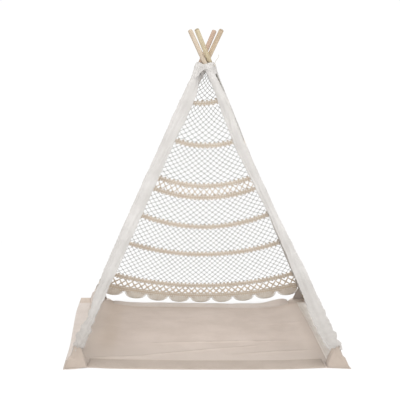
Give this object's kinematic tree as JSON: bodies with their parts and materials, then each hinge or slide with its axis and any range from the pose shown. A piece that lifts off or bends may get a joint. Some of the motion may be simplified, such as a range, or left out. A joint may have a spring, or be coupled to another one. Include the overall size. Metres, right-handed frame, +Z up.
{
  "type": "kids teepee",
  "caption": "Kids teepee: crossed wooden poles tied at the top, cream lace walls, white cotton sleeves and collar, open front, canvas floor mat with corner pockets; folds at the crown.",
  "frame": {"origin": "middle of the floor mat's underside, straight below the crown", "axes": "+Z up, -Y toward the open front, +X to the right seen from the front"},
  "size_m": [1.2486, 1.2072, 1.4211],
  "materials": {
    "wood_peach": "satin",
    "wood_pale": "satin",
    "wood_rose": "satin",
    "wood_straw": "satin",
    "white_cotton": "matte",
    "cream_lace": "matte",
    "mat_canvas": "matte",
    "mat_hem": "matte",
    "cotton_cord": "matte"
  },
  "bodies": {
    "mat": {"floor_mat": "mat_canvas", "hem_front": "mat_hem", "hem_right": "mat_hem", "hem_back": "mat_hem", "hem_left": "mat_hem", "pocket_front_left": "mat_canvas", "pocket_front_right": "mat_canvas", "pocket_back_left": "mat_canvas", "pocket_back_right": "mat_canvas"},
    "crown": {"top_collar": "white_cotton", "tie_cord_winding": "cotton_cord", "tie_knot": "cotton_cord", "tie_cord_tail": "cotton_cord"},
    "pole_front_left": {"pole_front_left": "wood_peach", "sleeve_front_left": "white_cotton"},
    "pole_front_right": {"pole_front_right": "wood_pale", "sleeve_front_right": "white_cotton"},
    "pole_back_left": {"pole_back_left": "wood_rose", "sleeve_back_left": "white_cotton"},
    "pole_back_right": {"pole_back_right": "wood_straw", "sleeve_back_right": "white_cotton"},
    "wall_back": {"lace_wall_back": "cream_lace"},
    "wall_left": {"lace_wall_left": "cream_lace"},
    "wall_right": {"lace_wall_right": "cream_lace"}
  },
  "joints": [
    {"name": "frame_lift", "type": "slide", "parent": "mat", "child": "crown", "axis": [0, 0, 1], "range_m": [0, 0.4]},
    {"name": "fold_pole_front_left", "type": "hinge", "parent": "crown", "child": "pole_front_left", "pos_m": [-0.01273, 0.01273, 1.288], "axis": [0.7226, -0.6913, 0], "range_deg": [0, 28], "deforming": ["sleeve_front_left"]},
    {"name": "fold_pole_front_right", "type": "hinge", "parent": "crown", "child": "pole_front_right", "pos_m": [-0.01273, -0.01273, 1.288], "axis": [0.6913, 0.7226, 0], "range_deg": [0, 28], "deforming": ["sleeve_front_right"]},
    {"name": "fold_pole_back_left", "type": "hinge", "parent": "crown", "child": "pole_back_left", "pos_m": [0.01273, 0.01273, 1.288], "axis": [-0.6913, -0.7226, 0], "range_deg": [0, 28], "deforming": ["sleeve_back_left"]},
    {"name": "fold_pole_back_right", "type": "hinge", "parent": "crown", "child": "pole_back_right", "pos_m": [0.01273, -0.01273, 1.288], "axis": [-0.7226, 0.6913, 0], "range_deg": [0, 28], "deforming": ["sleeve_back_right"]},
    {"name": "fold_wall_back", "type": "hinge", "parent": "crown", "child": "wall_back", "pos_m": [0, 0, 1.288], "axis": [-1, 0, 0], "range_deg": [0, 21.1], "deforming": ["lace_wall_back"]},
    {"name": "fold_wall_left", "type": "hinge", "parent": "crown", "child": "wall_left", "pos_m": [0, 0, 1.288], "axis": [0, -1, 0], "range_deg": [0, 21.1], "deforming": ["lace_wall_left"]},
    {"name": "fold_wall_right", "type": "hinge", "parent": "crown", "child": "wall_right", "pos_m": [0, 0, 1.288], "axis": [0, 1, 0], "range_deg": [0, 21.1], "deforming": ["lace_wall_right"]}
  ],
  "couplings": [
    {"joint": "fold_pole_front_left", "follows": "frame_lift", "rad_per_m": 1.2195},
    {"joint": "fold_pole_front_right", "follows": "frame_lift", "rad_per_m": 1.2195},
    {"joint": "fold_pole_back_left", "follows": "frame_lift", "rad_per_m": 1.2195},
    {"joint": "fold_pole_back_right", "follows": "frame_lift", "rad_per_m": 1.2195},
    {"joint": "fold_wall_back", "follows": "frame_lift", "rad_per_m": 0.919},
    {"joint": "fold_wall_left", "follows": "frame_lift", "rad_per_m": 0.919},
    {"joint": "fold_wall_right", "follows": "frame_lift", "rad_per_m": 0.919}
  ]
}
